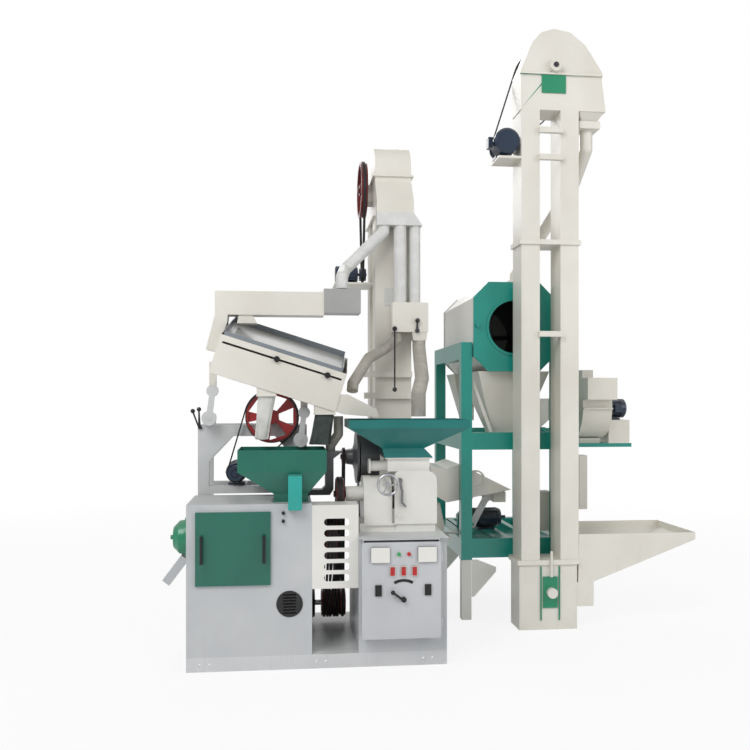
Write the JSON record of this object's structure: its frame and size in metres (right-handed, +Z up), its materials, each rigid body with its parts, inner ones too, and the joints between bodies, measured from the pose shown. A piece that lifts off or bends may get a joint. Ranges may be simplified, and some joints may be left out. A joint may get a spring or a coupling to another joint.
{
  "type": "combined rice milling plant",
  "caption": "Combined rice plant: huller, whitener, paddy separator and bucket elevators with a drum cleaner, destoner, fan, hoppers and control box.",
  "frame": {"origin": "middle of the base frame's front channel, on the floor", "axes": "+X to the right along the row of machines, +Y to the back, +Z up"},
  "size_m": [3.2565, 2.0563, 3.745],
  "materials": {
    "base_frame": "satin",
    "belt_guard": "satin",
    "changeover_lever": "satin",
    "cleaner_frame": "satin",
    "cleaner_hopper": "satin",
    "control_cabinet": "satin",
    "control_door": "satin",
    "delivery_pipes": "satin",
    "destoner_body": "satin",
    "destoner_rocker": "satin",
    "divider_knob_lower": "satin",
    "divider_knob_upper": "satin",
    "drive_belts": "satin",
    "drive_pulley": "satin",
    "drum_door": "satin",
    "drum_housing": "satin",
    "drum_screen": "satin",
    "electric_motors": "satin",
    "fan_housing": "satin",
    "fast_roll": "satin",
    "feed_lever": "satin",
    "grain_hoses": "satin",
    "grain_socks": "satin",
    "handwheel": "satin",
    "huller_cover": "satin",
    "huller_hopper": "satin",
    "huller_housing": "satin",
    "huller_stand": "satin",
    "husk_fan_housing": "satin",
    "husk_fan_rotor": "satin",
    "intake_elevator": "satin",
    "intake_head": "satin",
    "intake_head_shaft": "satin",
    "intake_hopper": "satin",
    "intake_spout": "satin",
    "main_motor": "satin",
    "middle_elevator": "satin",
    "middle_head_pulley": "satin",
    "mill_cabinet": "satin",
    "mill_door": "satin",
    "mill_hopper": "satin",
    "mill_outlet_head": "satin",
    "mill_rotor": "satin",
    "mill_screen": "satin",
    "panel_instruments": "satin",
    "separator_body": "satin",
    "separator_duct": "satin",
    "separator_pulley": "satin",
    "separator_rocker_left": "satin",
    "separator_rocker_right": "satin",
    "separator_stand": "satin",
    "separator_tray": "satin",
    "slow_roll": "satin",
    "switch_left": "satin",
    "switch_middle": "satin",
    "switch_right": "satin",
    "tilt_lever": "satin",
    "valve_lever_a": "satin",
    "valve_lever_b": "satin"
  },
  "bodies": {
    "plant": {"base_frame": "base_frame", "mill_cabinet": "mill_cabinet", "mill_screen": "mill_screen", "mill_hopper": "mill_hopper", "mill_outlet_head": "mill_outlet_head", "belt_guard": "belt_guard", "main_motor": "main_motor", "huller_stand": "huller_stand", "huller_housing": "huller_housing", "huller_hopper": "huller_hopper", "husk_fan_housing": "husk_fan_housing", "control_cabinet": "control_cabinet", "separator_stand": "separator_stand", "middle_elevator": "middle_elevator", "delivery_pipes": "delivery_pipes", "grain_hoses": "grain_hoses", "electric_motors": "electric_motors", "drive_belts": "drive_belts", "cleaner_frame": "cleaner_frame", "drum_housing": "drum_housing", "cleaner_hopper": "cleaner_hopper", "fan_housing": "fan_housing", "intake_elevator": "intake_elevator", "intake_head": "intake_head", "intake_spout": "intake_spout", "intake_hopper": "intake_hopper"},
    "mill_door": {"mill_door": "mill_door"},
    "mill_rotor": {"mill_rotor": "mill_rotor"},
    "drive_pulley": {"drive_pulley": "drive_pulley"},
    "huller_cover": {"huller_cover": "huller_cover"},
    "feed_lever": {"feed_lever": "feed_lever"},
    "handwheel": {"handwheel": "handwheel"},
    "fast_roll": {"fast_roll": "fast_roll"},
    "slow_roll": {"slow_roll": "slow_roll"},
    "husk_fan_rotor": {"husk_fan_rotor": "husk_fan_rotor"},
    "control_door": {"control_door": "control_door", "panel_instruments": "panel_instruments"},
    "changeover_lever": {"changeover_lever": "changeover_lever"},
    "switch_left": {"switch_left": "switch_left"},
    "switch_middle": {"switch_middle": "switch_middle"},
    "switch_right": {"switch_right": "switch_right"},
    "separator": {"separator_body": "separator_body", "separator_tray": "separator_tray", "separator_duct": "separator_duct", "grain_socks": "grain_socks"},
    "separator_rocker_left": {"separator_rocker_left": "separator_rocker_left"},
    "separator_rocker_right": {"separator_rocker_right": "separator_rocker_right"},
    "separator_pulley": {"separator_pulley": "separator_pulley"},
    "divider_knob_upper": {"divider_knob_upper": "divider_knob_upper"},
    "divider_knob_lower": {"divider_knob_lower": "divider_knob_lower"},
    "tilt_lever": {"tilt_lever": "tilt_lever"},
    "middle_head_pulley": {"middle_head_pulley": "middle_head_pulley"},
    "valve_lever_a": {"valve_lever_a": "valve_lever_a"},
    "valve_lever_b": {"valve_lever_b": "valve_lever_b"},
    "drum_door": {"drum_door": "drum_door"},
    "drum_screen": {"drum_screen": "drum_screen"},
    "destoner": {"destoner_body": "destoner_body"},
    "destoner_rocker": {"destoner_rocker": "destoner_rocker"},
    "intake_head_shaft": {"intake_head_shaft": "intake_head_shaft"}
  },
  "joints": [
    {"name": "mill_door_lift_off", "type": "slide", "parent": "plant", "child": "mill_door", "axis": [0, -1, 0], "range_m": [0, 0.25]},
    {"name": "mill_rotor_spin", "type": "hinge", "parent": "plant", "child": "mill_rotor", "pos_m": [-0.694, 0.2, 0.676], "axis": [1, 0, 0], "continuous": true},
    {"name": "drive_pulley_spin", "type": "hinge", "parent": "plant", "child": "drive_pulley", "pos_m": [0.041, 0.61, 0.1989], "axis": [1, 0, 0], "continuous": true},
    {"name": "huller_cover_swing", "type": "hinge", "parent": "plant", "child": "huller_cover", "pos_m": [0.664, 0.1197, 0.9], "axis": [0, 0, 1], "range_deg": [0, 100]},
    {"name": "feed_lever_turn", "type": "hinge", "parent": "huller_cover", "child": "feed_lever", "pos_m": [0.456, 0.0974, 0.985], "axis": [0, 1, 0], "range_deg": [-30, 30]},
    {"name": "handwheel_turn", "type": "hinge", "parent": "plant", "child": "handwheel", "pos_m": [0.378, 0.01, 0.97], "axis": [0, 1, 0], "continuous": true},
    {"name": "fast_roll_spin", "type": "hinge", "parent": "plant", "child": "fast_roll", "pos_m": [0.466, 0.23, 0.9], "axis": [1, 0, 0], "continuous": true},
    {"name": "slow_roll_spin", "type": "hinge", "parent": "plant", "child": "slow_roll", "pos_m": [0.466, 0.3267, 0.82], "axis": [1, 0, 0], "continuous": true},
    {"name": "husk_fan_spin", "type": "hinge", "parent": "plant", "child": "husk_fan_rotor", "pos_m": [0.261, 0.49, 1.092], "axis": [1, 0, 0], "continuous": true},
    {"name": "control_door_swing", "type": "hinge", "parent": "plant", "child": "control_door", "pos_m": [0.653, -0.0963, 0.4], "axis": [0, 0, 1], "range_deg": [0, 110]},
    {"name": "changeover_lever_turn", "type": "hinge", "parent": "control_door", "child": "changeover_lever", "pos_m": [0.446, -0.1023, 0.375], "axis": [0, 1, 0], "range_deg": [0, 111]},
    {"name": "switch_left_rock", "type": "hinge", "parent": "control_door", "child": "switch_left", "pos_m": [0.387, -0.1068, 0.524], "axis": [1, 0, 0], "range_deg": [-6, 6]},
    {"name": "switch_middle_rock", "type": "hinge", "parent": "control_door", "child": "switch_middle", "pos_m": [0.446, -0.1068, 0.524], "axis": [1, 0, 0], "range_deg": [-6, 6]},
    {"name": "switch_right_rock", "type": "hinge", "parent": "control_door", "child": "switch_right", "pos_m": [0.505, -0.1068, 0.524], "axis": [1, 0, 0], "range_deg": [-6, 6]},
    {"name": "separator_shake", "type": "slide", "parent": "plant", "child": "separator", "axis": [0.992, 0, -0.1264], "range_m": [-0.006, 0.006]},
    {"name": "rocker_left_swing", "type": "hinge", "parent": "plant", "child": "separator_rocker_left", "pos_m": [-0.611, 0.37, 1.325], "axis": [0, 1, 0], "range_deg": [-2.5, 2.5]},
    {"name": "rocker_right_swing", "type": "hinge", "parent": "plant", "child": "separator_rocker_right", "pos_m": [-0.088, 0.37, 1.2], "axis": [0, 1, 0], "range_deg": [-2.5, 2.5]},
    {"name": "separator_pulley_spin", "type": "hinge", "parent": "plant", "child": "separator_pulley", "pos_m": [-0.256, 0.408, 1.332], "axis": [0, 1, 0], "continuous": true},
    {"name": "divider_upper_slide", "type": "slide", "parent": "separator", "child": "divider_knob_upper", "axis": [0.9537, 0, -0.3007], "range_m": [-0.15, 0.12]},
    {"name": "divider_lower_slide", "type": "slide", "parent": "separator", "child": "divider_knob_lower", "axis": [0.9537, 0, -0.3007], "range_m": [-0.1, 0.05]},
    {"name": "tilt_lever_turn", "type": "hinge", "parent": "plant", "child": "tilt_lever", "pos_m": [-0.664, 0.4337, 1.272], "axis": [0, 1, 0], "range_deg": [-20, 12]},
    {"name": "middle_head_spin", "type": "hinge", "parent": "plant", "child": "middle_head_pulley", "pos_m": [0.318, 1.114, 2.838], "axis": [1, 0, 0], "continuous": true},
    {"name": "valve_lever_a_turn", "type": "hinge", "parent": "plant", "child": "valve_lever_a", "pos_m": [0.654, 0.74, 1.868], "axis": [0, 1, 0], "range_deg": [-30, 30]},
    {"name": "valve_lever_b_turn", "type": "hinge", "parent": "plant", "child": "valve_lever_b", "pos_m": [0.51, 0.74, 1.88], "axis": [0, 1, 0], "range_deg": [-10, 10]},
    {"name": "drum_door_swing", "type": "hinge", "parent": "plant", "child": "drum_door", "pos_m": [1.572, 0.84, 1.9], "axis": [0, 0, 1], "range_deg": [0, 8]},
    {"name": "drum_screen_spin", "type": "hinge", "parent": "plant", "child": "drum_screen", "pos_m": [1.304, 0.97, 1.906], "axis": [0, 1, 0], "continuous": true},
    {"name": "destoner_shake", "type": "slide", "parent": "plant", "child": "destoner", "axis": [0.8714, 0, -0.4905], "range_m": [-0.004, 0.004]},
    {"name": "destoner_rocker_swing", "type": "hinge", "parent": "plant", "child": "destoner_rocker", "pos_m": [1.066, 1, 0.601], "axis": [0, 1, 0], "range_deg": [-1.5, 1.5]},
    {"name": "intake_head_spin", "type": "hinge", "parent": "plant", "child": "intake_head_shaft", "pos_m": [1.491, 0.67, 3.506], "axis": [0, 1, 0], "continuous": true}
  ],
  "couplings": [
    {"joint": "slow_roll_spin", "follows": "fast_roll_spin", "ratio": -0.78},
    {"joint": "rocker_left_swing", "follows": "separator_shake", "rad_per_m": 6.3184},
    {"joint": "rocker_right_swing", "follows": "separator_shake", "rad_per_m": 6.3184},
    {"joint": "destoner_rocker_swing", "follows": "destoner_shake", "rad_per_m": 5.2182}
  ]
}
